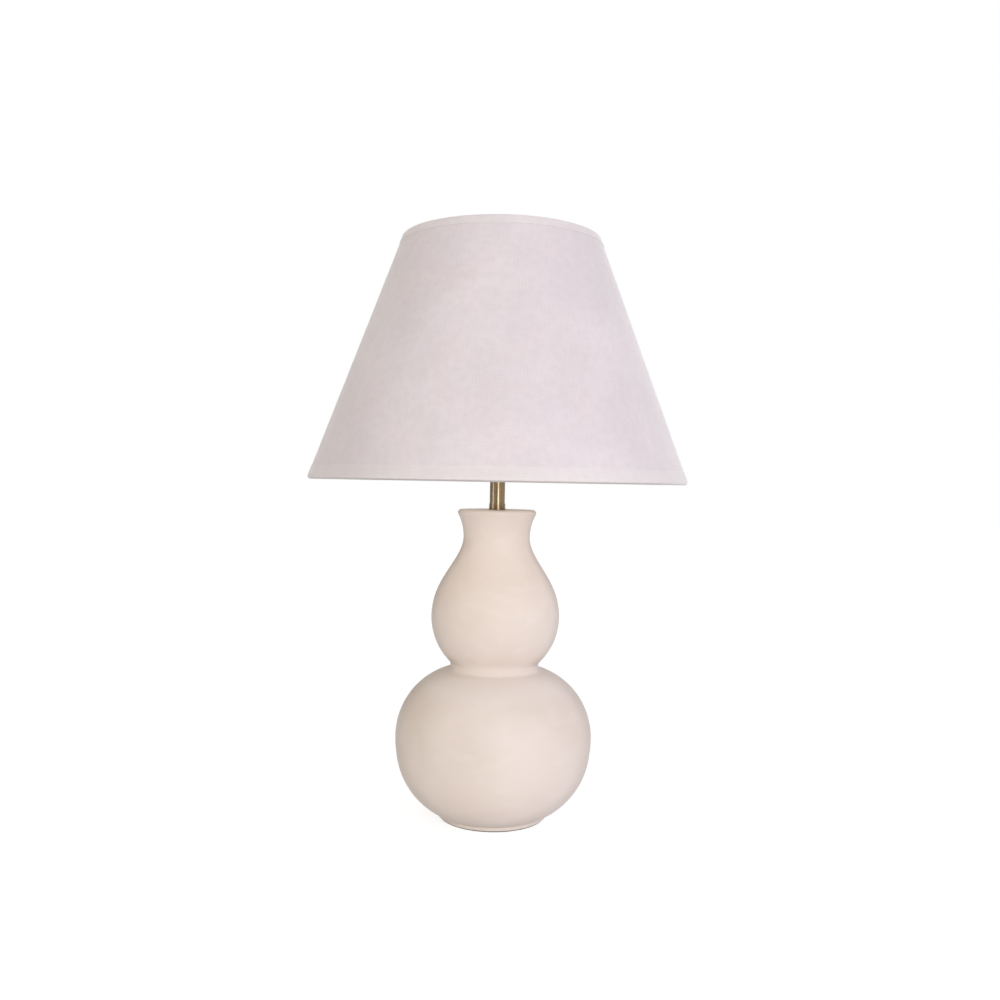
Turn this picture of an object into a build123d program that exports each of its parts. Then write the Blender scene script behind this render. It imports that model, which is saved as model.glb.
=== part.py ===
from build123d import *
import os
from math import asin, cos, degrees, hypot, pi, radians, sin, sqrt

# Table lamp with a double gourd body, a brass stem and a tapered shade on a harp.
# Lengths are in millimetres. The lamp stands on z = 0, its axis is Z and its front faces -Y.

# Fits
running_gap = 0.05
slip_gap = 0.1
seat_gap = 0.1
contact_gap = 0.3

# Felt ring under the foot
felt_thickness = 1.0
felt_margin = 1.5

# Ceramic body: widest and narrowest places, from its own underside upwards
foot_radius = 51.0
foot_height = 3.25
foot_round = 1.0
belly_height = 73.5
belly_radius = 91.6
belly_side_radius = 110.0
belly_side_drop = 21.2
waist_rise = 66.4
waist_radius = 41.25
waist_round = 4.8
upper_rise = 45.15
upper_radius = 60.0
neck_rise = 74.3
neck_radius = 31.2
shoulder_fullness = 0.48
neck_fullness = 0.295
mouth_rise = 25.6
mouth_radius = 39.1
mouth_round = 3.0
ceramic_wall = 5.5
mouth_wall = 6.0
recess_radius = 40.0
recess_depth = 15.0
floor_thickness = 6.0
floor_hole_radius = 6.0
mouth_hole_radius = 6.5

# Cord outlet through the foot, at the back
outlet_height = 8.5
outlet_bore_radius = 3.4
outlet_wall = 1.6
outlet_flange_radius = 7.0
outlet_flange_thickness = 1.5
outlet_nose = 2.5
outlet_nose_taper = 0.9

# Hollow threaded rod and what it clamps at the bottom
rod_radius = 5.0
rod_bore_radius = 3.3
rod_tail = 1.5
rod_reach_in_cap = 9.0
plate_radius = 24.0
plate_thickness = 2.0
lock_washer_radius = 8.6
lock_washer_thickness = 1.2
lock_washer_slit = 1.2
nut_across_flats = 16.0
nut_height = 4.0
bush_height = 4.5
bush_flange_radius = 6.9
bush_flange_thickness = 0.9

# Brass stem
collar_radius = 7.75
collar_height = 5.6
collar_groove_depth = 0.35
collar_groove_width = 0.7
collar_groove_heights = (2.0, 3.9)
stem_radius = 7.15
stem_wall = 0.9
stem_length = 29.5

# Harp and the saddle it stands in
saddle_thickness = 1.5
saddle_width = 13.0
saddle_overhang = 3.6
tab_spacing = 54.0
tab_width = 5.0
tab_thickness = 1.2
tab_height = 13.5
harp_height = 203.0
harp_wire_radius = 1.6
harp_leg_height = 37.0
harp_half_width = 50.0
harp_side_start = 82.0
harp_side_end = 148.0
harp_shoulder_half_width = 24.0
harp_leg_bend = 42.0
harp_side_bend = 80.0
harp_upper_bend = 100.0
harp_corner_bend = 27.0
sleeve_wall = 0.8
sleeve_height = 14.0
sleeve_bead = 0.5

# Stud on top of the harp
stud_hub_radius = 6.0
stud_hub_height = 6.0
stud_flange_radius = 9.5
stud_flange_thickness = 2.0
stud_radius = 3.1
stud_length = 12.0

# Lamp socket
cap_hub_radius = 8.0
cap_hub_height = 6.0
cap_radius = 17.0
cap_wall = 0.9
cap_rim = 4.0
set_screw_radius = 1.5
set_screw_height = 3.2
set_screw_proud = 0.6
shell_wall = 0.5
shell_length = 44.0
shell_bead = 0.5
liner_wall = 0.5
liner_inset = 1.0
block_radius_gap = 0.1
block_seat_height = 11.0
block_height = 24.0
screw_shell_wall = 0.5
screw_shell_length = 22.5
screw_shell_flange = 1.0
screw_shell_flange_thickness = 0.5
contact_radius = 5.0
contact_thickness = 0.6
contact_button_radius = 3.0
contact_button_height = 1.6
terminal_head_radius = 2.8
terminal_head_height = 1.8
terminal_shank_radius = 1.5
terminal_shank_length = 4.0
terminal_height = 7.0

# Turn switch in the socket's front
switch_height = 12.0
switch_shaft_radius = 2.4
switch_shaft_tail = 9.0
switch_hole_gap = 0.6
knob_radius = 5.4
knob_length = 12.5
knob_standoff = 1.4
knob_overlap = 8.0
knob_flutes = 14
knob_flute_radius = 0.7
knob_round = 0.8

# Bulb
bulb_radius = 30.0
bulb_length = 109.5
bulb_cap_radius = 13.1
bulb_cap_wall = 0.4
bulb_cap_length = 24.0
bulb_tip_radius = 4.6
bulb_tip_height = 1.0
bulb_insulator_height = 3.2
bulb_insulator_radius = 10.5
bulb_glass_wall = 1.0
bulb_neck_sleeve = 6.0
bulb_neck_fullness = 0.35
bulb_body_fullness = 0.5
stem_flare_radius = 11.0
stem_flare_height = 1.5
mount_radius = 2.5
mount_height = 34.0
filament_ring_radius = 12.0
filament_wire_radius = 0.3
filament_rise = 12.0
filament_sweep = 240.0

# Shade: wire rings, stiff lining, cloth skin and edge bindings
shade_bottom_ring = 172.8
shade_top_ring = 90.9
shade_ring_drop = 221.6
ring_wire_radius = 1.55
lining_thickness = 0.6
cloth_thickness = 0.6
binding_thickness = 0.35
top_binding_width = 6.5
bottom_binding_width = 9.0

# Spider that carries the shade
spider_hub_radius = 13.5
spider_hub_thickness = 1.6
spider_rise = 9.85
spider_wire_radius = 1.5
spider_arm_angles = (-90.0, 30.0, 150.0)
spider_arm_lean = 85.0
spider_arm_bend = 7.0
spider_arm_overlap = 3.0

# Finial
finial_height = 24.5
finial_base_radius = 7.5
finial_base_height = 2.6
finial_neck_radius = 5.4
finial_ball_radius = 7.6
insert_radius = 4.3
insert_length = 10.5

# Levels that follow from the sizes above
ceramic_height = belly_height + waist_rise + upper_rise + neck_rise + mouth_rise
body_top = felt_thickness + ceramic_height
floor_level = felt_thickness + recess_depth
saddle_level = body_top + collar_height + stem_length
socket_level = saddle_level + saddle_thickness
shade_seat = socket_level + harp_height
block_level = socket_level + block_seat_height
block_top = block_level + block_height
shell_level = socket_level + cap_hub_height + cap_radius - cap_hub_radius
bulb_level = block_top + contact_thickness + contact_button_height + contact_gap
spider_level = shade_seat + seat_gap + spider_hub_thickness / 2
top_ring_level = spider_level + spider_rise
bottom_ring_level = top_ring_level - shade_ring_drop
finial_level = shade_seat + 2 * seat_gap + spider_hub_thickness


def turned(section):
    """A section drawn as (radius, height) and turned about Z."""
    return revolve(Plane.XZ * section, Axis.Z)


def disc(radius, bottom, top):
    return Pos(0, 0, bottom) * Cylinder(radius, top - bottom, align=(Align.CENTER, Align.CENTER, Align.MIN))


def tube(outer, inner, bottom, top):
    return disc(outer, bottom, top) - disc(inner, bottom, top)


def rod_along_y(radius, start, end, height):
    length = end - start
    return Pos(0, start + length / 2, height) * Rot(90, 0, 0) * Cylinder(radius, length)


def swell(start, end, start_pull, end_pull):
    """A curve between two places of upright slope, each pull a share of the rise."""
    rise = end[1] - start[1]
    first_pull = (start[0], start[1] + start_pull * rise)
    last_pull = (end[0], end[1] - end_pull * rise)
    return Bezier(start, first_pull, last_pull, end)


# ---------------------------------------------------------------- ceramic body


def bulge_centre(widest_radius, height_gap, inset):
    """Radius of an arc, upright at the widest place, that rolls into the waist's fillet."""
    waist_centre = waist_radius + waist_round
    fillet = waist_round + inset
    reach = waist_centre - widest_radius
    return (reach**2 + height_gap**2 - fillet**2) / (2 * (fillet - reach))


def rolled_arcs(inset):
    """Both bulges and the fillet between them, as one run of edges from belly to upper gourd."""
    belly = belly_radius - inset
    upper = upper_radius - inset
    waist_level = belly_height + waist_rise
    upper_level = waist_level + upper_rise
    centre = Vector(waist_radius + waist_round, waist_level)
    belly_arc = bulge_centre(belly, waist_rise, inset)
    upper_arc = bulge_centre(upper, upper_rise, inset)
    belly_centre = Vector(belly - belly_arc, belly_height)
    upper_centre = Vector(upper - upper_arc, upper_level)
    fillet = waist_round + inset
    low_touch = centre + (belly_centre - centre).normalized() * fillet
    high_touch = centre + (upper_centre - centre).normalized() * fillet
    deepest = centre - Vector(fillet, 0)
    return [
        TangentArc((belly, belly_height), low_touch, tangent=(0, 1)),
        ThreePointArc(low_touch, deepest, high_touch),
        TangentArc((upper, upper_level), high_touch, tangent=(0, -1)),
    ]


def underside_start(inset):
    """Where the flat arc below the belly's widest place ends."""
    turn = asin(belly_side_drop / belly_side_radius)
    reach = belly_side_radius - inset
    centre = belly_radius - belly_side_radius
    return Vector(centre + reach * cos(turn), belly_height - reach * sin(turn))


def gourd_side(inset, foot_point, mouth_point):
    """Outline from the foot to the mouth, set in by the wall where inset is above 0."""
    upper_level = belly_height + waist_rise + upper_rise
    neck_level = upper_level + neck_rise
    start = underside_start(inset)
    side = TangentArc((belly_radius - inset, belly_height), start, tangent=(0, -1))
    underside = TangentArc(start, foot_point, tangent=side % 1)
    shoulder = swell(
        (upper_radius - inset, upper_level), (neck_radius - inset, neck_level), shoulder_fullness, neck_fullness
    )
    mouth = TangentArc((neck_radius - inset, neck_level), mouth_point, tangent=(0, 1))
    return [underside, side] + rolled_arcs(inset) + [shoulder, mouth]


def outer_section():
    foot_point = (foot_radius, foot_height)
    mouth_point = (mouth_radius, ceramic_height)
    closing = Polyline(mouth_point, (0, ceramic_height), (0, 0), (foot_radius, 0), foot_point)
    section = make_face(gourd_side(0, foot_point, mouth_point) + [closing])
    rim = section.vertices().sort_by_distance(mouth_point)[0]
    section = fillet(rim, mouth_round)
    sole = section.vertices().sort_by_distance((foot_radius, 0))[0]
    return fillet(sole, foot_round)


def hollow_section():
    foot_point = (foot_radius - ceramic_wall, foot_height)
    mouth_point = (mouth_radius - ceramic_wall, ceramic_height)
    closing = Polyline(mouth_point, (0, ceramic_height), (0, foot_height), foot_point)
    section = make_face(gourd_side(ceramic_wall, foot_point, mouth_point) + [closing])
    cavity_floor = recess_depth + floor_thickness
    cavity_roof = ceramic_height - mouth_wall
    middle = (cavity_floor + cavity_roof) / 2
    window = Pos(belly_radius / 2, middle) * Rectangle(belly_radius, cavity_roof - cavity_floor)
    return section & window


def outlet_hole_radius():
    return outlet_bore_radius + outlet_wall + running_gap


def ceramic_body():
    body = turned(outer_section()) - turned(hollow_section())
    body -= disc(recess_radius, 0, recess_depth)
    body -= disc(floor_hole_radius, 0, recess_depth + floor_thickness)
    body -= disc(mouth_hole_radius, ceramic_height - mouth_wall, ceramic_height)
    body = Pos(0, 0, felt_thickness) * body
    return body - rod_along_y(outlet_hole_radius(), recess_radius / 2, belly_radius, outlet_height)


def base_felt():
    return tube(foot_radius - felt_margin, recess_radius + felt_margin, 0, felt_thickness)


def outlet_reach():
    """How far out the belly's underside stands at the height of the outlet's axis."""
    foot_point = (foot_radius, foot_height)
    start = underside_start(0)
    side = TangentArc((belly_radius, belly_height), start, tangent=(0, -1))
    underside = TangentArc(start, foot_point, tangent=side % 1)
    height = outlet_height - felt_thickness
    level = Line((0, height), (2 * belly_radius, height))
    return level.intersect(underside).vertices()[0].X


def cord_outlet_bushing():
    outer = outlet_bore_radius + outlet_wall
    flange_face = sqrt(recess_radius**2 - outlet_flange_radius**2) - running_gap
    end = outlet_reach()
    section = Polyline(
        (outlet_bore_radius, flange_face - outlet_flange_thickness),
        (outlet_flange_radius, flange_face - outlet_flange_thickness),
        (outlet_flange_radius, flange_face),
        (outer, flange_face),
        (outer, end),
        (outer - outlet_nose_taper, end + outlet_nose),
        (outlet_bore_radius, end + outlet_nose),
        close=True,
    )
    bushing = turned(make_face(section))
    return Pos(0, 0, outlet_height) * Rot(-90, 0, 0) * bushing


# ---------------------------------------------------------------- rod and clamping pieces


def plate_level():
    return floor_level - plate_thickness


def washer_level():
    return plate_level() - lock_washer_thickness


def nut_level():
    return washer_level() - nut_height


def threaded_rod():
    return tube(rod_radius, rod_bore_radius, nut_level() - rod_tail, socket_level + rod_reach_in_cap)


def bottom_plate():
    return tube(plate_radius, rod_radius + slip_gap, plate_level(), floor_level)


def bottom_lock_washer():
    ring = tube(lock_washer_radius, rod_radius + slip_gap, washer_level(), plate_level())
    middle = (washer_level() + plate_level()) / 2
    return ring - Pos(lock_washer_radius, 0, middle) * Box(lock_washer_radius, lock_washer_slit, plate_thickness)


def bottom_nut():
    flats = RegularPolygon(nut_across_flats / 2, 6, major_radius=False)
    blank = Pos(0, 0, nut_level()) * extrude(flats, nut_height)
    corners = turned(chamfered_blank(nut_across_flats / 2, nut_height))
    blank &= Pos(0, 0, nut_level()) * corners
    return blank - disc(rod_radius + running_gap, nut_level(), washer_level())


def chamfered_blank(flat_radius, height):
    corner_radius = flat_radius / cos(pi / 6)
    drop = (corner_radius - flat_radius) / 2
    return make_face(
        Polyline(
            (0, 0),
            (flat_radius, 0),
            (corner_radius, drop),
            (corner_radius, height - drop),
            (flat_radius, height),
            (0, height),
            close=True,
        )
    )


def rod_centering_bush():
    flange_top = body_top + bush_flange_thickness
    bush = disc(mouth_hole_radius - running_gap, body_top - bush_height, flange_top)
    bush += disc(bush_flange_radius, body_top, flange_top)
    return bush - disc(rod_radius + running_gap, body_top - bush_height, flange_top)


# ---------------------------------------------------------------- stem


def stem_collar():
    top = body_top + collar_height
    collar = disc(collar_radius, body_top, top)
    for height in collar_groove_heights:
        middle = body_top + height
        low = middle - collar_groove_width / 2
        high = middle + collar_groove_width / 2
        collar -= tube(collar_radius, collar_radius - collar_groove_depth, low, high)
    collar -= disc(bush_flange_radius + running_gap, body_top, body_top + bush_flange_thickness + running_gap)
    return collar - disc(rod_radius + slip_gap, body_top, top)


def stem_tube():
    return tube(stem_radius, stem_radius - stem_wall, body_top + collar_height, saddle_level)


# ---------------------------------------------------------------- harp


def tab_face():
    """Outer face of a saddle tab, which the harp's leg stands against."""
    return tab_spacing / 2 + tab_thickness / 2


def leg_place():
    return tab_face() + running_gap + harp_wire_radius


def harp_saddle():
    half_length = leg_place() + harp_wire_radius + saddle_overhang
    strap = SlotOverall(2 * half_length, saddle_width)
    saddle = Pos(0, 0, saddle_level) * extrude(strap, saddle_thickness)
    for side in (-1, 1):
        middle = socket_level + tab_height / 2
        saddle += Pos(side * tab_spacing / 2, 0, middle) * Box(tab_thickness, tab_width, tab_height)
    return saddle - disc(rod_radius + slip_gap, saddle_level, socket_level)


def stud_hub_middle():
    return shade_seat - stud_flange_thickness - stud_hub_height / 2


def harp_wire():
    side_low = socket_level + harp_side_start
    side_high = socket_level + harp_side_end
    left = [
        (-leg_place(), 0, socket_level),
        (-leg_place(), 0, socket_level + harp_leg_height),
        (-harp_half_width, 0, side_low),
        (-harp_half_width, 0, side_high),
        (-harp_shoulder_half_width, 0, stud_hub_middle()),
    ]
    right = [(-x, y, z) for x, y, z in reversed(left)]
    bends = [harp_leg_bend, harp_side_bend, harp_upper_bend, harp_corner_bend]
    path = FilletPolyline(*left, *right, radius=bends + bends[::-1])
    start = Plane(left[0], z_dir=(0, 0, 1))
    return sweep(start * Circle(harp_wire_radius), path=path)


def harp_stud():
    hub_bottom = shade_seat - stud_flange_thickness - stud_hub_height
    stud = disc(stud_hub_radius, hub_bottom, shade_seat - stud_flange_thickness)
    stud += disc(stud_flange_radius, shade_seat - stud_flange_thickness, shade_seat)
    stud += disc(stud_radius, shade_seat, shade_seat + stud_length)
    passage = Pos(0, 0, stud_hub_middle()) * Rot(0, 90, 0) * Cylinder(
        harp_wire_radius + running_gap, 3 * stud_hub_radius
    )
    return stud - passage


def harp_sleeve(side):
    """Ferrule that holds a harp leg to its tab: the least circle round both, and its wall."""
    tab_back = tab_spacing / 2 - tab_thickness / 2
    leg_back = leg_place() + harp_wire_radius
    half_tab = tab_width / 2
    middle = (leg_back**2 - tab_back**2 - half_tab**2) / (2 * (leg_back - tab_back))
    bore = leg_back - middle + slip_gap
    outer = bore + sleeve_wall
    bottom = socket_level + running_gap
    sleeve = tube(outer, bore, bottom, bottom + sleeve_height)
    for height in (bottom, bottom + sleeve_height - 2 * sleeve_bead):
        sleeve += tube(outer + sleeve_bead, outer, height, height + 2 * sleeve_bead)
    return Pos(side * middle, 0, 0) * sleeve


# ---------------------------------------------------------------- socket


def cap_face(hub, inner_hub, outer):
    """Half section of the cap: a hub, a quarter-round dome and an upright rim."""
    dome_level = cap_hub_height + cap_radius - cap_hub_radius
    top = dome_level + cap_rim
    floor = dome_level - (outer - hub)
    dome = TangentArc((hub, floor), (outer, dome_level), tangent=(1, 0))
    rest = Polyline((outer, dome_level), (outer, top), (inner_hub, top), (inner_hub, floor), (hub, floor))
    return make_face([dome, rest])


def cap_hub_bore():
    return rod_radius + running_gap


def socket_cap():
    hub = Pos(cap_hub_radius / 2, cap_hub_height / 2) * Rectangle(cap_hub_radius, cap_hub_height)
    bowl = cap_face(cap_hub_radius, 0, cap_radius) - cap_face(cap_hub_radius, 0, cap_radius - cap_wall)
    cap = Pos(0, 0, socket_level) * turned(hub + bowl)
    cap -= disc(cap_hub_bore(), socket_level, shell_level)
    return cap - set_screw_blank(running_gap)


def set_screw_blank(gap):
    end = cap_hub_radius + set_screw_proud
    return rod_along_y(set_screw_radius + gap, rod_radius, end, socket_level + set_screw_height)


def socket_set_screw():
    screw = set_screw_blank(0) - disc(cap_hub_bore(), socket_level, shell_level)
    face = cap_hub_radius + set_screw_proud
    slot = Box(2 * set_screw_radius, set_screw_proud, set_screw_proud)
    return screw - Pos(0, face, socket_level + set_screw_height) * slot


def shell_outer():
    return cap_radius - cap_wall - running_gap


def liner_outer():
    return shell_outer() - shell_wall - running_gap


def block_radius():
    return liner_outer() - liner_wall - block_radius_gap


def switch_level():
    return block_level + switch_height


def switch_opening():
    radius = switch_shaft_radius + switch_hole_gap
    return rod_along_y(radius, -cap_radius, -block_radius() / 2, switch_level())


def socket_shell():
    top = shell_level + shell_length
    shell = tube(shell_outer(), shell_outer() - shell_wall, shell_level, top)
    for height in (cap_rim + 1, shell_length - 2 * shell_bead):
        low = shell_level + height
        shell += tube(shell_outer() + shell_bead, shell_outer(), low, low + 2 * shell_bead)
    return shell - switch_opening()


def socket_liner():
    top = shell_level + shell_length - liner_inset
    liner = tube(liner_outer(), liner_outer() - liner_wall, shell_level + liner_inset, top)
    return liner - switch_opening()


def terminal_place(side):
    return Pos(side * (block_radius() - terminal_head_height), 0, block_level + terminal_height) * Rot(0, side * 90, 0)


def terminal_screws():
    screws = []
    for side in (-1, 1):
        head = disc(terminal_head_radius, 0, terminal_head_height)
        slot = Pos(0, 0, terminal_head_height) * Box(2 * terminal_head_radius, 0.6, 1.0)
        shank = disc(terminal_shank_radius, -terminal_shank_length, 0)
        pocket_clear = disc(terminal_head_radius, -terminal_shank_length, terminal_head_height)
        screws.append(terminal_place(side) * ((head + shank - slot) & pocket_clear))
    trimmed = disc(block_radius(), block_level, block_top)
    return Compound(children=[screw & trimmed for screw in screws])


def socket_block():
    block = disc(block_radius(), block_level, block_top)
    for side in (-1, 1):
        pocket = disc(terminal_head_radius + slip_gap, 0, block_radius())
        shank = disc(terminal_shank_radius, -terminal_shank_length, 0)
        block -= terminal_place(side) * (pocket + shank)
    tail = switch_shaft_tail - block_radius()
    bore = rod_along_y(switch_shaft_radius + running_gap, -cap_radius, tail + slip_gap, switch_level())
    return block - bore


def screw_shell_inner():
    return bulb_cap_radius + slip_gap


def screw_shell():
    outer = screw_shell_inner() + screw_shell_wall
    shell = tube(outer, screw_shell_inner(), block_top, block_top + screw_shell_length)
    return shell + tube(
        outer + screw_shell_flange, screw_shell_inner(), block_top, block_top + screw_shell_flange_thickness
    )


def socket_contact():
    contact = disc(contact_radius, block_top, block_top + contact_thickness)
    button_top = block_top + contact_thickness + contact_button_height
    return contact + disc(contact_button_radius, block_top, button_top)


def switch_shaft():
    tail = switch_shaft_tail - block_radius()
    end = -cap_radius - knob_standoff - knob_overlap
    return rod_along_y(switch_shaft_radius, end, tail, switch_level())


def switch_knob():
    near = -cap_radius - knob_standoff
    far = near - knob_length
    knob = rod_along_y(knob_radius, far, near, switch_level())
    ends = knob.edges().filter_by(GeomType.CIRCLE).group_by(Axis.Y)[0]
    knob = fillet(ends, knob_round)
    for turn in range(knob_flutes):
        angle = 2 * pi * turn / knob_flutes
        place = Pos(knob_radius * cos(angle), 0, knob_radius * sin(angle))
        knob -= place * rod_along_y(knob_flute_radius, far, near, switch_level())
    return knob - rod_along_y(switch_shaft_radius, near - knob_overlap, near, switch_level())


# ---------------------------------------------------------------- bulb


def bulb_cap_level():
    return bulb_level + bulb_tip_height + bulb_insulator_height


def glass_level():
    """Lower end of the glass neck, inside the bulb's cap."""
    return bulb_cap_level() + bulb_cap_length - bulb_neck_sleeve


def bulb_contact():
    tip = disc(bulb_tip_radius, bulb_level, bulb_level + bulb_tip_height)
    rim = tip.edges().filter_by(GeomType.CIRCLE).group_by(Axis.Z)[0]
    return fillet(rim, bulb_tip_height / 2)


def bulb_insulator():
    low = bulb_level + bulb_tip_height
    half = bulb_insulator_height / 2
    return Pos(0, 0, low + half) * Cone(bulb_tip_radius, bulb_insulator_radius, bulb_insulator_height)


def bulb_cap():
    low = bulb_cap_level()
    cap = tube(bulb_cap_radius, bulb_cap_radius - bulb_cap_wall, low, low + bulb_cap_length)
    return cap + tube(bulb_cap_radius, bulb_insulator_radius / 2, low, low + bulb_cap_wall)


def glass_section(inset):
    top = bulb_level + bulb_length
    middle = top - bulb_radius
    neck = bulb_cap_radius - bulb_cap_wall - running_gap - inset
    radius = bulb_radius - inset
    sleeve_top = bulb_cap_level() + bulb_cap_length
    side = swell((neck, sleeve_top), (radius, middle), bulb_neck_fullness, bulb_body_fullness)
    crown = TangentArc((radius, middle), (0, top - inset), tangent=(0, 1))
    rest = Polyline((0, top - inset), (0, glass_level()), (neck, glass_level()), (neck, sleeve_top))
    return make_face([side, crown, rest])


def bulb_glass():
    return turned(glass_section(0)) - turned(glass_section(bulb_glass_wall))


def bulb_stem():
    """Glass foot and mount that hold the filament."""
    flare_top = glass_level() + stem_flare_height
    stem = disc(stem_flare_radius, glass_level(), flare_top)
    return stem + disc(mount_radius, flare_top, flare_top + mount_height)


def bulb_filament():
    """Open ring of wire on two leads that start in the mount's top."""
    low = glass_level() + stem_flare_height + mount_height
    level = low + filament_rise
    ring = CenterArc((0, 0, level), filament_ring_radius, (360 - filament_sweep) / 2, filament_sweep)
    first = ring @ 0
    filament = sweep(Plane(first, z_dir=ring % 0) * Circle(filament_wire_radius), path=ring)
    for end in (ring @ 0, ring @ 1):
        foot = Vector(end.X, end.Y, 0).normalized() * (mount_radius / 2) + Vector(0, 0, low)
        lead = Line(foot, end)
        filament += sweep(Plane(foot, z_dir=lead % 0) * Circle(filament_wire_radius), path=lead)
        filament += Pos(*end) * Sphere(filament_wire_radius)
    return filament - disc(mount_radius, low - mount_radius, low)


# ---------------------------------------------------------------- shade


def slant_length():
    return hypot(shade_bottom_ring - shade_top_ring, shade_ring_drop)


def slant_place():
    """Frame on the line between the wire rings: x runs up the slant, +y is the inner side."""
    lean = degrees(asin((shade_bottom_ring - shade_top_ring) / slant_length()))
    middle_radius = (shade_bottom_ring + shade_top_ring) / 2
    middle_level = (bottom_ring_level + top_ring_level) / 2
    return Pos(middle_radius, middle_level) * Rot(0, 0, 90 + lean)


def wrapped_band(outer, inner):
    """Outer half of a band round both rings, open on the inner side between them."""
    length = slant_length()
    band = SlotCenterToCenter(length, 2 * outer) - SlotCenterToCenter(length, 2 * inner)
    return band - Pos(0, outer) * Rectangle(length, 2 * outer)


def cloth_inner():
    return ring_wire_radius + contact_gap


def cloth_outer():
    return cloth_inner() + cloth_thickness


def shade_cloth():
    return turned(slant_place() * wrapped_band(cloth_outer(), cloth_inner()))


def binding(width, end):
    """Edge binding over the cloth; end is -1 at the bottom ring and 1 at the top ring."""
    inner = cloth_outer()
    outer = inner + binding_thickness
    edge = slant_length() / 2 - width
    reach = width + 2 * outer
    window = Pos(end * (edge + reach / 2), 0) * Rectangle(reach, 4 * outer)
    return turned(slant_place() * (wrapped_band(outer, inner) & window))


def shade_lining():
    length = slant_length() - 2 * (ring_wire_radius + running_gap)
    band = Pos(0, -ring_wire_radius + lining_thickness / 2) * Rectangle(length, lining_thickness)
    return turned(slant_place() * band)


def wire_ring(radius, level):
    return Pos(0, 0, level) * Torus(radius, ring_wire_radius)


def spider_arm(angle):
    rise = top_ring_level - spider_level
    bend_radius = shade_top_ring - rise / sin(radians(spider_arm_lean)) * cos(radians(spider_arm_lean))
    start = (spider_hub_radius - spider_arm_overlap, 0, spider_level)
    path = FilletPolyline(
        start,
        (bend_radius, 0, spider_level),
        (shade_top_ring, 0, top_ring_level),
        radius=spider_arm_bend,
    )
    arm = sweep(Plane(start, z_dir=(1, 0, 0)) * Circle(spider_wire_radius), path=path)
    return Rot(0, 0, angle) * arm


def shade_spider():
    half = spider_hub_thickness / 2
    spider = disc(spider_hub_radius, spider_level - half, spider_level + half)
    for angle in spider_arm_angles:
        spider += spider_arm(angle)
    spider -= wire_ring(shade_top_ring, top_ring_level)
    hub_hole = stud_radius + slip_gap
    spider -= disc(hub_hole, spider_level - spider_wire_radius, spider_level + spider_wire_radius)
    return spider.solids().sort_by(SortBy.VOLUME)[-1]


# ---------------------------------------------------------------- finial


def finial_insert():
    top = finial_level + insert_length
    return tube(insert_radius, stud_radius + running_gap, finial_level, top)


def finial_section():
    ball_level = finial_height - finial_ball_radius
    waist_level = (finial_base_height + ball_level) / 2
    touch = sqrt(finial_ball_radius**2 - finial_neck_radius**2)
    side = Polyline(
        (0, 0),
        (finial_base_radius, 0),
        (finial_base_radius, finial_base_height),
        (finial_neck_radius, waist_level),
        (finial_neck_radius, ball_level - touch),
    )
    ball = ThreePointArc(
        (finial_neck_radius, ball_level - touch), (finial_ball_radius, ball_level), (0, finial_height)
    )
    return make_face([side, ball, Line((0, finial_height), (0, 0))])


def finial_knob():
    knob = Pos(0, 0, finial_level) * turned(finial_section())
    pocket = stud_length + 2 * seat_gap
    knob -= disc(insert_radius + running_gap, finial_level, finial_level + insert_length + running_gap)
    return knob - disc(stud_radius + slip_gap, finial_level, finial_level + pocket)


pieces = {
    "base_felt": base_felt(),
    "ceramic_body": ceramic_body(),
    "cord_outlet_bushing": cord_outlet_bushing(),
    "bottom_plate": bottom_plate(),
    "bottom_lock_washer": bottom_lock_washer(),
    "bottom_nut": bottom_nut(),
    "threaded_rod": threaded_rod(),
    "rod_centering_bush": rod_centering_bush(),
    "stem_collar": stem_collar(),
    "stem_tube": stem_tube(),
    "harp_saddle": harp_saddle(),
    "harp_wire": harp_wire(),
    "harp_stud": harp_stud(),
    "harp_sleeve_left": harp_sleeve(-1),
    "harp_sleeve_right": harp_sleeve(1),
    "socket_cap": socket_cap(),
    "socket_set_screw": socket_set_screw(),
    "socket_shell": socket_shell(),
    "socket_liner": socket_liner(),
    "socket_block": socket_block(),
    "terminal_screws": terminal_screws(),
    "screw_shell": screw_shell(),
    "socket_contact": socket_contact(),
    "switch_shaft": switch_shaft(),
    "switch_knob": switch_knob(),
    "bulb_contact": bulb_contact(),
    "bulb_insulator": bulb_insulator(),
    "bulb_cap": bulb_cap(),
    "bulb_glass": bulb_glass(),
    "bulb_stem": bulb_stem(),
    "bulb_filament": bulb_filament(),
    "shade_bottom_ring": wire_ring(shade_bottom_ring, bottom_ring_level),
    "shade_top_ring": wire_ring(shade_top_ring, top_ring_level),
    "shade_spider": shade_spider(),
    "shade_lining": shade_lining(),
    "shade_cloth": shade_cloth(),
    "shade_top_binding": binding(top_binding_width, 1),
    "shade_bottom_binding": binding(bottom_binding_width, -1),
    "finial_insert": finial_insert(),
    "finial_knob": finial_knob(),
}

os.makedirs("parts", exist_ok=True)
for name, shape in pieces.items():
    export_step(shape, f"parts/{name}.step")
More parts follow.
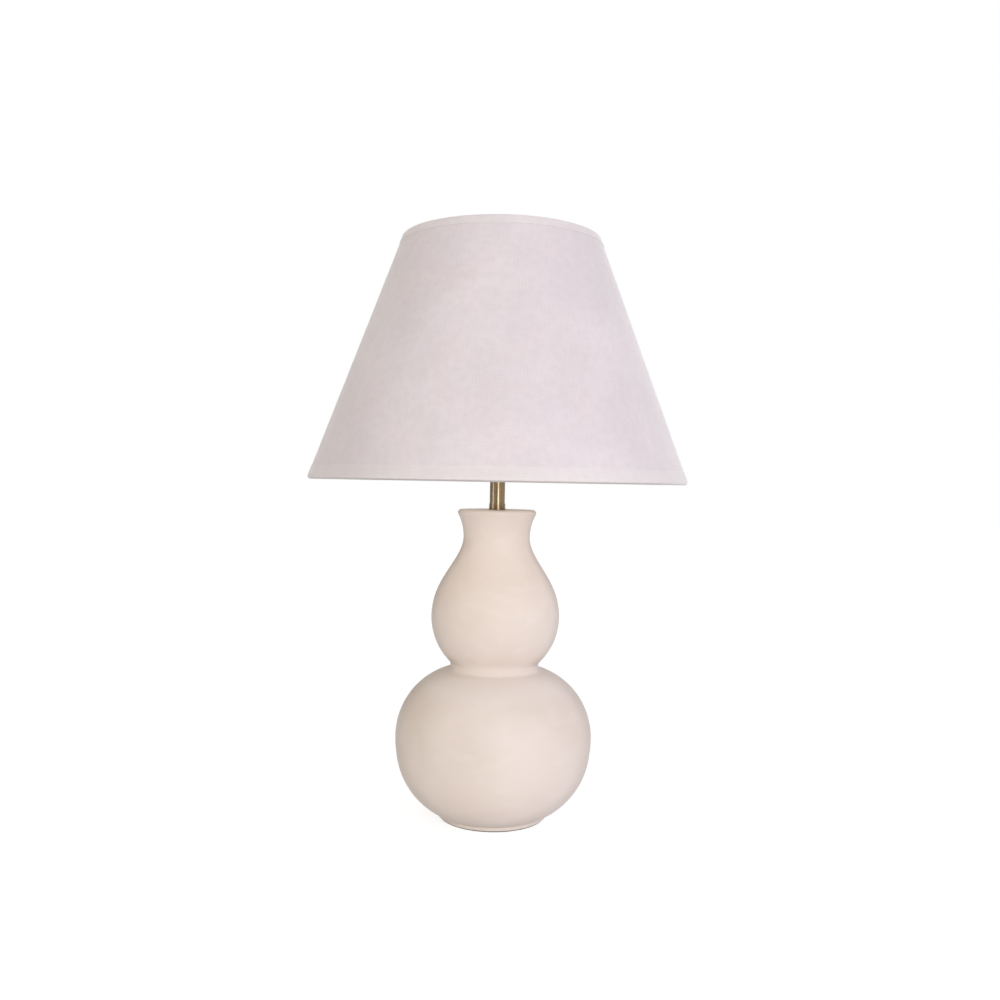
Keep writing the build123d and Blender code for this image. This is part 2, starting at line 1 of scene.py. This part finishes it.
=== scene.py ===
import bpy
from math import atan, cos, pi, radians, sin, sqrt
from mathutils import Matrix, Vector


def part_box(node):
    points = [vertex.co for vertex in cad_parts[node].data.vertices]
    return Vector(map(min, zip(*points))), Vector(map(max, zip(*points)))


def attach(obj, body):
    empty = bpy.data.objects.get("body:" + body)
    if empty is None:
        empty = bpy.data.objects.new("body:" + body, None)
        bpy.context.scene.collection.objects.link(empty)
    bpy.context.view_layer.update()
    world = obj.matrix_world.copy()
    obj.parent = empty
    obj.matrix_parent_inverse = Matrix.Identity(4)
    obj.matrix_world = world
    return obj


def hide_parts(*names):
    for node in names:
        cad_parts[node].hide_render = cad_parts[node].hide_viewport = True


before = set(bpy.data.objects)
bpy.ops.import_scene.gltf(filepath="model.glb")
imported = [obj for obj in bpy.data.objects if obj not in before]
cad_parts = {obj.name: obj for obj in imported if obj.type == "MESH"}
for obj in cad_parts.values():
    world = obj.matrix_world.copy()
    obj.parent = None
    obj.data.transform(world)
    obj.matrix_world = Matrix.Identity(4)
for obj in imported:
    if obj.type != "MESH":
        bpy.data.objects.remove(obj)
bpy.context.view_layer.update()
scene = bpy.context.scene


# ---------------------------------------------------------------- shader expressions


class Value:
    """One socket of a shader. Sums on it become Math nodes, and node() adds any other kind."""

    def __init__(self, socket):
        self.socket = socket

    def __getitem__(self, name):
        return Value(self.socket.node.outputs[name])

    def node(self, kind, settings=None, inputs=None, output=0):
        made = self.socket.id_data.nodes.new("ShaderNode" + kind)
        for name, setting in (settings or {}).items():
            setattr(made, name, setting)
        for name, given in (inputs or {}).items():
            if isinstance(given, Value):
                self.socket.id_data.links.new(given.socket, made.inputs[name])
            else:
                made.inputs[name].default_value = given
        return Value(made.outputs[output])

    def maths(self, operation, *others):
        return self.node("Math", {"operation": operation}, dict(enumerate((self, *others))))

    def __add__(self, other):
        return self.maths("ADD", other)

    def __radd__(self, other):
        return self.maths("ADD", other)

    def __mul__(self, other):
        return self.maths("MULTIPLY", other)

    def __rmul__(self, other):
        return self.maths("MULTIPLY", other)

    def __sub__(self, other):
        return self.maths("SUBTRACT", other)

    def __rsub__(self, other):
        return self.node("Math", {"operation": "SUBTRACT"}, {0: other, 1: self})

    def __lt__(self, other):
        return self.maths("LESS_THAN", other)

    def __gt__(self, other):
        return self.maths("GREATER_THAN", other)

    def between(self, low, high):
        """0 below low, 1 above high, and a smooth step from one to the other."""
        settings = {"interpolation_type": "SMOOTHSTEP"}
        return self.node("MapRange", settings, {0: self, 1: low, 2: high})


def linear(red, green, blue):
    """A colour as a paint chart gives it, from 0 to 255, made linear."""
    made = []
    for share in (red / 255, green / 255, blue / 255):
        made.append(share / 12.92 if share <= 0.04045 else ((share + 0.055) / 1.055) ** 2.4)
    return (*made, 1.0)


def mixed(mask, first, second):
    """The first colour where the mask is 0 and the second where it is 1."""
    return mask.node("Mix", {"data_type": "RGBA"}, {0: mask, 6: first, 7: second}, output=2)


class Finish:
    """A material being made: its coordinates, its patterns and its surface shader."""

    def __init__(self, name):
        self.material = bpy.data.materials.new(name)
        self.material.use_nodes = True
        nodes = self.material.node_tree.nodes
        self.surface = nodes["Principled BSDF"]
        self.coordinates = Value(nodes.new("ShaderNodeTexCoord").outputs["Object"])
        axes = self.coordinates.node("SeparateXYZ", None, {0: self.coordinates})
        self.x, self.y, self.z = axes, axes["Y"], axes["Z"]

    def noise(self, scale, detail=2.0, stretch=(1, 1, 1), on=None):
        place = self.coordinates if on is None else on
        placed = place.node("Mapping", None, {"Vector": place, "Scale": stretch})
        return place.node("TexNoise", None, {"Vector": placed, "Scale": scale, "Detail": detail})

    def radius(self):
        return (self.x * self.x + self.y * self.y).maths("SQRT")

    def screw_thread(self, pitch):
        """Height of a single-start thread about the lamp's axis, from -1 to 1."""
        turn = self.y.maths("ARCTAN2", self.x)
        return (self.z * (2 * pi / pitch) - turn).maths("SINE")

    def bump(self, height, distance, strength=1.0):
        wanted = {"Height": height, "Distance": distance, "Strength": strength}
        self.set("Normal", height.node("Bump", None, wanted))

    def set(self, socket, given):
        if isinstance(given, Value):
            self.material.node_tree.links.new(given.socket, self.surface.inputs[socket])
        else:
            self.surface.inputs[socket].default_value = given

    def wear(self, *nodes):
        for name in nodes:
            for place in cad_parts[name].material_slots:
                place.material = self.material


# ---------------------------------------------------------------- modelling helpers


def deselect_all():
    for thing in bpy.context.selected_objects:
        thing.select_set(False)


def selected_vertices(piece):
    piece.update_from_editmode()
    return [v for v in piece.data.vertices if v.select]


def make_active(piece):
    deselect_all()
    piece.select_set(True)
    bpy.context.view_layer.objects.active = piece


def apply_modifier(piece, kind, **settings):
    make_active(piece)
    modifier = piece.modifiers.new(kind.lower(), kind)
    for name, setting in settings.items():
        setattr(modifier, name, setting)
    bpy.ops.object.modifier_apply(modifier=modifier.name)


def soften(piece, width, segments):
    """Rounds a piece's sharp edges, then shades it smooth."""
    sharp = {"limit_method": "ANGLE", "angle_limit": radians(40)}
    apply_modifier(piece, "BEVEL", width=width, segments=segments, **sharp)
    make_active(piece)
    bpy.ops.object.shade_smooth_by_angle(angle=radians(35))


# ---------------------------------------------------------------- ceramic and felt


recess_radius = 0.0407
recess_height = 0.0172
waist_level = 0.1445
lit_shoulder_begins = 0.112, 0.128
lit_shoulder_ends = 0.1365, 0.1395


def cream_glaze():
    glaze = Finish("cream_glaze")
    cloudy = glaze.noise(14.0, 3.0).between(0.3, 0.7)
    colour = mixed(cloudy, linear(227, 213, 202), linear(233, 220, 211))
    pooled = glaze.noise(55.0, 4.0, (1, 1, 2.2)).between(0.45, 0.75)
    colour = mixed(pooled * 0.35, colour, linear(236, 224, 216))
    specks = glaze.noise(950.0, 1.0).between(0.74, 0.8)
    colour = mixed(specks * 0.35, colour, linear(196, 172, 148))
    # Painted light: paler glaze just above the waist stands in for a highlight ring there, and on the
    # shoulder under it for light falling on its top.
    painted_light_tint = linear(241, 233, 227)
    waist_highlight = (glaze.z - waist_level).maths("ABSOLUTE").between(0.004, 0.001)
    colour = mixed(waist_highlight * 0.4, colour, painted_light_tint)
    lit_shoulder = glaze.z.between(*lit_shoulder_begins) * (1 - glaze.z.between(*lit_shoulder_ends))
    colour = mixed(lit_shoulder * 0.4, colour, painted_light_tint)
    # Painted shade: the colour darkens towards its outline, as the glaze looks between the dark
    # panels of a studio.
    grazing = glaze.coordinates.node("LayerWeight", None, {"Blend": 0.5}, output="Facing")
    colour = mixed(grazing.between(0.5, 0.88) * 0.48, colour, linear(187, 176, 167))
    bare_clay = (glaze.radius() < recess_radius) * (glaze.z < recess_height)
    crumbly = glaze.noise(900.0, 3.0).between(0.3, 0.7)
    clay = mixed(crumbly, linear(211, 198, 180), linear(221, 209, 193))
    glaze.set("Base Color", mixed(bare_clay, colour, clay))
    silky = glaze.noise(38.0, 3.0) * 0.1 + 0.38
    glaze.set("Roughness", silky + bare_clay * 0.4)
    glaze.set("Coat Weight", (1 - bare_clay) * 0.06)
    glaze.set("Coat Roughness", 0.3)
    glaze.set("Specular IOR Level", 0.24)
    waves = glaze.noise(26.0, 2.0) * 0.00012 + glaze.noise(320.0, 3.0) * 0.000012
    grains = glaze.noise(1500.0, 2.0) * bare_clay * 0.0001
    glaze.bump(waves + grains, 1.0, 0.6)
    glaze.wear("ceramic_body")


def felt_ring():
    """Ring of felt glued under the foot."""
    low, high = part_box("base_felt")
    outer, inner = high.x, 0.0415
    margin, rounding = 0.0004, 0.00022
    deselect_all()
    bpy.ops.mesh.primitive_circle_add(vertices=144, radius=outer, location=(0, 0, 0))
    ring = bpy.context.object
    ring.name = "felt_foot_ring"
    bpy.ops.object.mode_set(mode="EDIT")
    bpy.ops.mesh.select_all(action="SELECT")
    for radius in (outer - margin, (outer + inner) / 2, inner + margin, inner):
        reached = max(sqrt(v.co.x**2 + v.co.y**2) for v in selected_vertices(ring))
        bpy.ops.mesh.extrude_edges_move()
        bpy.ops.transform.resize(value=(radius / reached, radius / reached, 1))
    bpy.ops.mesh.select_all(action="SELECT")
    bpy.ops.mesh.extrude_region_move(TRANSFORM_OT_translate={"value": (0, 0, high.z - low.z)})
    bpy.ops.mesh.select_all(action="SELECT")
    bpy.ops.mesh.normals_make_consistent(inside=False)
    bpy.ops.object.mode_set(mode="OBJECT")
    soften(ring, rounding, 3)
    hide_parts("base_felt")
    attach(ring, "lamp_base")
    felt = Finish("grey_green_felt")
    fibres = felt.noise(2200.0, 4.0, (1, 1, 0.4))
    tufts = felt.noise(420.0, 3.0)
    colour = mixed(fibres.between(0.35, 0.68), linear(52, 56, 48), linear(98, 102, 88))
    felt.set("Base Color", mixed(tufts.between(0.4, 0.7) * 0.4, colour, linear(118, 120, 104)))
    felt.set("Roughness", 0.96)
    felt.set("Sheen Weight", 0.35)
    felt.set("Sheen Roughness", 0.6)
    felt.bump(fibres * 0.5 + tufts, 0.00025, 0.9)
    ring.data.materials.append(felt.material)


# ---------------------------------------------------------------- shade: cloth and bindings


def wire_ring(node):
    """Radius and level of the circle that a ring's wire follows."""
    low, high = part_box(node)
    return high.x - (high.z - low.z) / 2, (low.z + high.z) / 2


bottom_ring = wire_ring("shade_bottom_ring")
top_ring = wire_ring("shade_top_ring")
slant = sqrt((bottom_ring[0] - top_ring[0]) ** 2 + (top_ring[1] - bottom_ring[1]) ** 2)
cone_angle = atan((bottom_ring[0] - top_ring[0]) / (top_ring[1] - bottom_ring[1]))
up = -sin(cone_angle), cos(cone_angle)
out = cos(cone_angle), sin(cone_angle)
cloth_offset = 0.00215
cloth_thickness = 0.00056
binding_offset = 0.00263
binding_thickness = 0.00034
cloth_turn_in = 178
binding_turn_in = 196
cloth_lap = 0.009
binding_lap = 0.008
lap_climb = 0.006
ripple = 0.00005
bottom_binding_width = 0.009
top_binding_width = 0.0065


def beside(ring, outwards, upwards):
    """A place beside a ring's wire, in the plane of the lamp's axis."""
    radius = ring[0] + outwards * out[0] + upwards * up[0]
    return radius, ring[1] + outwards * out[1] + upwards * up[1]


def round_wire(ring, offset, first, last, steps, end):
    """Places round a ring's wire between two angles, 0 being the outer side; end is -1 or 1."""
    places = []
    for step in range(steps + 1):
        angle = radians(first + (last - first) * step / steps)
        places.append(beside(ring, offset * cos(angle), end * offset * sin(angle)))
    return places


def along_slant(start, finish, steps, offset):
    """Places up the outer side, start and finish being distances above the bottom ring."""
    reach = [start + (finish - start) * step / steps for step in range(steps + 1)]
    return [beside(bottom_ring, offset, distance) for distance in reach]


def travelled(profile):
    """Distance along a profile, to each of its places."""
    distances = [0.0]
    for (r0, z0), (r1, z1) in zip(profile, profile[1:]):
        distances.append(distances[-1] + sqrt((r1 - r0) ** 2 + (z1 - z0) ** 2))
    return distances


def wrapped_sheet(name, profile, overlap, thickness, pattern):
    """Cloth taken once round the shade from the back seam, its last strip lying over its first.

    The pattern gives the place on the flat cloth for a turn round the shade and a distance up it.
    """
    columns = 256
    widest = max(radius for radius, level in profile)
    extra = overlap / widest
    climb = lap_climb / widest
    travels = travelled(profile)
    places, faces, patterns = [], [], []
    for column in range(columns + 1):
        turn = -pi - extra / 2 + (2 * pi + extra) * column / columns
        over = (turn - (pi - extra / 2 - climb)) / climb
        over = min(max(over, 0.0), 1.0)
        lift = 1.15 * thickness * over * over * (3 - 2 * over)
        uneven = ripple * (sin(5 * turn + 0.7) + sin(13 * turn))
        for (radius, level), travel in zip(profile, travels):
            spread = radius + (lift + uneven) * out[0]
            places.append((spread * sin(turn), -spread * cos(turn), level + (lift + uneven) * out[1]))
            patterns.append(pattern(turn, travel))
    rows = len(profile)
    for column in range(columns):
        for row in range(rows - 1):
            corner = column * rows + row
            faces.append((corner, corner + rows, corner + rows + 1, corner + 1))
    mesh = bpy.data.meshes.new(name)
    mesh.from_pydata(places, [], faces)
    layer = mesh.uv_layers.new(name="cut_cloth")
    for corner in mesh.loops:
        layer.data[corner.index].uv = patterns[corner.vertex_index]
    sheet = bpy.data.objects.new(name, mesh)
    scene.collection.objects.link(sheet)
    apply_modifier(sheet, "SOLIDIFY", thickness=thickness, offset=0.0)
    make_active(sheet)
    bpy.ops.object.shade_smooth_by_angle(angle=radians(35))
    return sheet


def shade_skin():
    """The cloth: one flat sector of cloth, wrapped over both wires."""
    low = round_wire(bottom_ring, cloth_offset, cloth_turn_in, 0, 10, -1)
    side = along_slant(0, slant, 36, cloth_offset)
    high = round_wire(top_ring, cloth_offset, 0, cloth_turn_in, 10, 1)
    profile = low[:-1] + side + high[1:]
    travels = travelled(profile)
    share = sin(cone_angle)
    corner = travels[len(low) - 1]
    reach_low = side[0][0] / share + corner

    def cut_place(turn, travel):
        reach = reach_low - travel
        return reach * sin(turn * share), reach * cos(turn * share)

    skin = wrapped_sheet("linen_shade_skin", profile, cloth_lap, cloth_thickness, cut_place)
    reach_high = reach_low - travels[-1]
    half = share * (pi + cloth_lap / bottom_ring[0] / 2)
    area = half * (reach_low**2 - reach_high**2)
    flat = 2 * reach_low * sin(half), reach_low - reach_high * cos(half)
    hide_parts("shade_cloth")
    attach(skin, "shade")
    skin.data.materials.append(linen())


def edge_binding(name, node, ring, width, end):
    """Bias strip over the cloth at one wire; end is -1 at the bottom and 1 at the top."""
    if end < 0:
        outside = along_slant(width, 0, 8, binding_offset)
    else:
        outside = along_slant(slant - width, slant, 8, binding_offset)
    inside = round_wire(ring, binding_offset, 0, binding_turn_in, 14, end)
    profile = outside[:-1] + inside
    if end < 0:
        profile = profile[::-1]
    strip = travelled(profile)[-1]

    def cut_place(turn, travel):
        along = turn * ring[0]
        return (along + travel) / sqrt(2), (travel - along) / sqrt(2)

    binding = wrapped_sheet(name, profile, binding_lap, binding_thickness, cut_place)
    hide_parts(node)
    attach(binding, "shade")
    around = 2 * pi * ring[0] + binding_lap
    binding.data.materials.append(bias_cloth())


linen_pitch = 0.00115
bias_pitch = 0.0008
fold_shade_begins = 0.0011
fold_shade_ends = 0.002


def woven(cloth, pitch, slub):
    """Plain weave on the cut cloth: its height, where the warp lies over, and thick threads."""
    flat = Value(cloth.material.node_tree.nodes.new("ShaderNodeUVMap").outputs["UV"])
    axes = flat.node("SeparateXYZ", None, {0: flat})
    wander = cloth.noise(60.0, 2.0, on=flat) * pitch * 0.9
    across = (axes + wander) * (pi / pitch)
    along = (axes["Y"] + wander) * (pi / pitch)
    warp = across.maths("SINE").maths("ABSOLUTE")
    weft = along.maths("SINE").maths("ABSOLUTE")
    over = (across.maths("COSINE") * along.maths("COSINE")).between(-0.3, 0.3)
    height = warp * over + weft * (1 - over)
    thick_warp = cloth.noise(1.0, 3.0, (slub, slub * 0.05, 1), on=flat).between(0.25, 0.75)
    thick_weft = cloth.noise(1.0, 3.0, (slub * 0.05, slub, 1), on=flat).between(0.25, 0.75)
    return height, over, thick_warp * over + thick_weft * (1 - over)


def cloth_finish(cloth, pitch, slub, raised, hollow_shade):
    """Surface of a plain-woven cloth, and its colour, from its raised threads to its hollows, which
    are painted darker as shade.
    """
    height, over, uneven = woven(cloth, pitch, slub)
    faded = mixed(cloth.noise(28.0, 3.0).between(0.35, 0.65) * 0.35, raised, linear(229, 223, 224))
    threads = mixed(uneven * 0.22, faded, linear(246, 240, 242))
    crisp = cloth.noise(11.0, 3.0).between(0.32, 0.62) * 0.6
    crisp = crisp + cloth.noise(150.0, 2.0).between(0.3, 0.7) * 0.4
    # Painted shade: the hollow colour darkens the low points of the weave, and in part the threads
    # where the weft lies on top.
    threads = mixed((1 - over) * (crisp * 0.42 + 0.16), threads, hollow_shade)
    colour = mixed((1 - height.between(0.15, 0.75)) * (crisp * 0.4 + 0.25), threads, hollow_shade)
    colour = mixed(cloth.noise(17.0, 2.0).between(0.42, 0.75) * 0.3, colour, linear(216, 207, 214))
    cloth.set("Roughness", 0.94 - uneven * 0.08)
    cloth.set("Sheen Weight", 0.9)
    cloth.set("Sheen Roughness", 0.42)
    cloth.set("Specular IOR Level", 0.25)
    cloth.bump(height + uneven * 0.4, pitch * 0.16, 0.5)
    return colour


def linen():
    cloth = Finish("pale_linen")
    raised, hollow_shade = linear(235, 224, 226), linear(196, 183, 185)
    cloth.set("Base Color", cloth_finish(cloth, linen_pitch, 1100.0, raised, hollow_shade))
    return cloth.material


def bias_cloth():
    cloth = Finish("pale_bias_cloth")
    raised, hollow_shade = linear(236, 227, 226), linear(208, 198, 197)
    colour = cloth_finish(cloth, bias_pitch, 1500.0, raised, hollow_shade)
    # Painted shade: the binding darkens where it rolls under the bottom wire.
    fold_shade = cloth.z.between(bottom_ring[1] - fold_shade_begins, bottom_ring[1] - fold_shade_ends)
    cloth.set("Base Color", mixed(fold_shade, colour, linear(184, 178, 176)))
    return cloth.material


# ---------------------------------------------------------------- metals


rod_pitch = 0.001
bulb_pitch = 0.00363


def metal(name, dark, light, roughness, spread, grain, tarnish=0, tarnished=None, thread=None):
    """Metal with a grain, which is the noise's stretch and runs along its small number.

    A thread is its pitch, the depth of its grooves, and the levels that it begins and ends at.
    """
    finish = Finish(name)
    lines = finish.noise(1.0, 3.0, grain)
    streak = lines.between(0.28, 0.72)
    colour = mixed(streak, dark, light)
    if tarnish:
        blotches = finish.noise(110.0, 4.0).between(0.42, 0.72)
        colour = mixed(blotches * tarnish, colour, tarnished)
    finish.set("Base Color", colour)
    finish.set("Metallic", 1.0)
    smudges = finish.noise(45.0, 3.0)
    finish.set("Roughness", streak * spread + smudges * spread + (roughness - spread))
    height = lines * 0.00001
    if thread:
        pitch, depth, low, high = thread
        zone = (finish.z > low) * (finish.z < high)
        height = height + finish.screw_thread(pitch) * zone * depth
    finish.bump(height, 1.0, 0.8)
    return finish


def lacquer(finish):
    """A clear coat over a metal."""
    finish.set("Coat Weight", 0.35)
    finish.set("Coat Roughness", 0.16)
    return finish


def metals():
    drawn, turned = (1400, 1400, 22), (14, 14, 1600)
    brown, dull, milky = linear(92, 66, 38), linear(150, 118, 66), linear(176, 178, 184)

    shades = linear(126, 109, 84), linear(160, 140, 112)
    tube = metal("antique_brass_drawn", *shades, 0.22, 0.05, drawn, 0.2, brown)
    lacquer(tube).wear("stem_tube")
    shades = linear(120, 103, 78), linear(152, 132, 104)
    ring = metal("antique_brass_turned", *shades, 0.26, 0.06, turned, 0.3, brown)
    lacquer(ring).wear("stem_collar", "finial_knob")

    shades = linear(188, 156, 98), linear(208, 178, 118)
    brass = metal("lacquered_brass", *shades, 0.24, 0.06, turned, 0.25, dull)
    brass.wear("harp_stud", "harp_sleeve_left", "harp_sleeve_right", "finial_insert")
    brass.wear("socket_cap", "socket_shell", "socket_contact", "terminal_screws")
    shades = linear(178, 152, 104), linear(192, 166, 116)
    wire = metal("brassed_wire", *shades, 0.3, 0.07, (900, 900, 900), 0.3, dull)
    wire.wear("harp_wire", "harp_saddle")

    shades = linear(158, 160, 162), linear(198, 200, 202)
    zinc = metal("zinc_plate", *shades, 0.38, 0.1, (380, 380, 380), 0.5, milky)
    zinc.wear("bottom_plate", "bottom_lock_washer", "bottom_nut")
    zinc.wear("socket_set_screw", "switch_shaft")
    thread = (rod_pitch, 0.0002, 0.0, 1.0)
    rod = metal("zinc_threads", *shades, 0.36, 0.08, turned, 0.4, milky, thread)
    rod.wear("threaded_rod")

    shades = linear(196, 197, 198), linear(226, 226, 226)
    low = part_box("screw_shell")[0].z
    thread = (bulb_pitch, 0.0005, low + 0.001, 1.0)
    shell = metal("pressed_aluminium", *shades, 0.3, 0.08, turned, thread=thread)
    shell.wear("screw_shell")
    low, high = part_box("bulb_cap")
    thread = (bulb_pitch, 0.0005, low.z + 0.002, high.z - 0.006)
    cap = metal("bulb_cap_aluminium", *shades, 0.28, 0.08, turned, thread=thread)
    cap.wear("bulb_cap", "bulb_contact")

    shades = linear(92, 92, 96), linear(128, 128, 132)
    tungsten = metal("tungsten_wire", *shades, 0.45, 0.08, (3000, 3000, 3000))
    tungsten.wear("bulb_filament")


# ---------------------------------------------------------------- plastics, glass, paint and card


def moulded(name, dark, light, roughness, grain, depth, *nodes):
    """Moulded or painted surface with a fine uneven skin."""
    finish = Finish(name)
    fine = finish.noise(grain, 3.0)
    broad = finish.noise(grain / 12, 2.0)
    finish.set("Base Color", mixed((fine * 0.5 + broad * 0.5).between(0.35, 0.65), dark, light))
    finish.set("Roughness", broad * 0.14 + (roughness - 0.07))
    finish.bump(fine, depth, 0.5)
    finish.wear(*nodes)
    return finish


def moulded_pieces():
    shades = linear(196, 188, 172), linear(210, 203, 188)
    moulded("cream_rubber", *shades, 0.72, 1400.0, 0.00004, "cord_outlet_bushing")
    shades = linear(226, 220, 206), linear(236, 231, 219)
    moulded("nylon", *shades, 0.5, 700.0, 0.00002, "rod_centering_bush")
    shades = linear(20, 19, 18), linear(34, 33, 31)
    black = moulded("black_moulding", *shades, 0.34, 900.0, 0.00002, "socket_block", "switch_knob")
    black.set("Coat Weight", 0.2)
    shades = linear(58, 46, 34), linear(78, 64, 48)
    moulded("insulating_card", *shades, 0.86, 1100.0, 0.00006, "socket_liner")
    shades = linear(222, 221, 216), linear(232, 231, 227)
    paint = moulded("white_wire_paint", *shades, 0.42, 600.0, 0.00004, "shade_spider")
    paint.wear("shade_bottom_ring", "shade_top_ring")


def daylit_lining():
    """The lining glows a little, for the daylight that comes through the cloth."""
    shades = linear(232, 229, 223), linear(240, 238, 233)
    lining = moulded("white_styrene", *shades, 0.55, 260.0, 0.00002, "shade_lining")
    lining.set("Specular IOR Level", 0.4)
    lining.set("Emission Color", linear(255, 247, 238))
    lining.set("Emission Strength", 0.18)


def bulb_glass():
    shades = linear(12, 12, 15), linear(22, 22, 26)
    moulded("black_insulating_glass", *shades, 0.16, 500.0, 0.00002, "bulb_insulator")
    shades = linear(238, 237, 231), linear(244, 243, 239)
    opal = moulded("opal_glass", *shades, 0.3, 120.0, 0.00001, "bulb_glass")
    opal.set("Coat Weight", 0.35)
    opal.set("Coat Roughness", 0.12)
    shades = linear(226, 232, 230), linear(236, 240, 238)
    clear = moulded("clear_glass", *shades, 0.1, 200.0, 0.00001, "bulb_stem")
    clear.set("Transmission Weight", 0.85)


# ---------------------------------------------------------------- room, lights and camera


def seen_directly(value, with_metal):
    """1 for rays to the camera, through glass and, if wanted, from metal, and 0 for others."""
    path = value.node("LightPath")
    shown = path["Is Camera Ray"] + path["Is Transmission Ray"]
    if with_metal:
        shown = shown + path["Is Glossy Ray"]
    return shown.maths("MINIMUM", 1.0)


def glow(share, colour):
    """Light of one colour, as strong as share."""
    return share.node("VectorMath", {"operation": "SCALE"}, {0: colour, "Scale": share})


def plus(first, second):
    """Two coloured lights together."""
    return first.node("VectorMath", {"operation": "ADD"}, {0: first, 1: second})


def surroundings():
    """Soft light from right, back and front. Metal and the camera see surroundings of their own."""
    world = bpy.data.worlds.new("studio")
    scene.world = world
    world.use_nodes = True
    nodes = world.node_tree.nodes
    background = nodes["Background"]
    direction = Value(nodes.new("ShaderNodeTexCoord").outputs["Generated"])
    axes = direction.node("SeparateXYZ", None, {0: direction})
    right, back = axes, axes["Y"]
    white = (1.0, 1.0, 1.0, 1.0)

    to_right = right * 0.5 + 0.5
    to_back = back * 0.5 + 0.5
    to_front = (right * -0.053 - back * 0.998).maths("MAXIMUM", 0.0).maths("POWER", 6.0)
    from_sides = plus(glow(to_right, (0.45, 0.49, 0.71)), glow(to_back, (0.72, 0.62, 0.42)))
    fill = plus(from_sides, glow(to_front, (2.8, 2.76, 2.48)))

    in_metal = mixed(to_right, (0.22, 0.21, 0.2, 1.0), (0.78, 0.77, 0.76, 1.0))
    left_strip = (back + 0.43).maths("ABSOLUTE").between(0.14, 0.06) * (right < 0)
    in_metal = mixed(left_strip, in_metal, (5.5, 5.5, 5.5, 1.0))
    in_metal = mixed(back.between(0.9, 0.99), in_metal, white)

    light = mixed(direction.node("LightPath")["Is Glossy Ray"], fill, in_metal)
    shown = mixed(seen_directly(direction, False), light, white)
    world.node_tree.links.new(shown.socket, background.inputs["Color"])
    background.inputs["Strength"].default_value = 1.0


def floor():
    deselect_all()
    bpy.ops.mesh.primitive_plane_add(size=14.0, location=(0, 0, 0))
    plane = bpy.context.object
    plane.name = "floor"
    pale = Finish("pale_floor")
    pale.set("Base Color", (0.87, 0.87, 0.88, 1.0))
    pale.set("Roughness", 0.9)
    lit = pale.coordinates.node("Emission", None, {"Color": (1, 1, 1, 1), "Strength": 1.3})
    mask = seen_directly(pale.coordinates, True) * 0.65
    shaders = {0: mask, 1: Value(pale.surface.outputs[0]), 2: lit}
    joined = pale.coordinates.node("MixShader", None, shaders)
    output = pale.material.node_tree.nodes["Material Output"]
    pale.material.node_tree.links.new(joined.socket, output.inputs["Surface"])
    plane.data.materials.append(pale.material)


def key_light():
    """A soft box to the right of the camera, turned to the lamp's middle."""
    place, aim = Vector((0.30, -1.08, 0.36)), Vector((0, 0, 0.22))
    light = bpy.data.lights.new("key_soft_box", "AREA")
    light.shape = "SQUARE"
    light.size = 0.32
    light.energy = 2.2
    holder = bpy.data.objects.new("key_soft_box", light)
    scene.collection.objects.link(holder)
    holder.location = place
    holder.rotation_euler = (aim - place).to_track_quat("-Z", "Y").to_euler()


def camera():
    lens = bpy.data.cameras.new("camera")
    lens.sensor_width = 36.0
    lens.lens = 35.28
    lens.shift_y = -0.0187
    lens.clip_start = 0.01
    holder = bpy.data.objects.new("camera", lens)
    scene.collection.objects.link(holder)
    holder.location = (0.0022, -0.922, 0.3126)
    holder.rotation_euler = (radians(90), radians(-1.03), 0)
    scene.camera = holder


camera()
surroundings()
floor()
key_light()
cream_glaze()
felt_ring()
shade_skin()
edge_binding("bottom_edge_binding", "shade_bottom_binding", bottom_ring, bottom_binding_width, -1)
edge_binding("top_edge_binding", "shade_top_binding", top_ring, top_binding_width, 1)
metals()
moulded_pieces()
daylit_lining()
bulb_glass()

scene.view_settings.view_transform = "Standard"
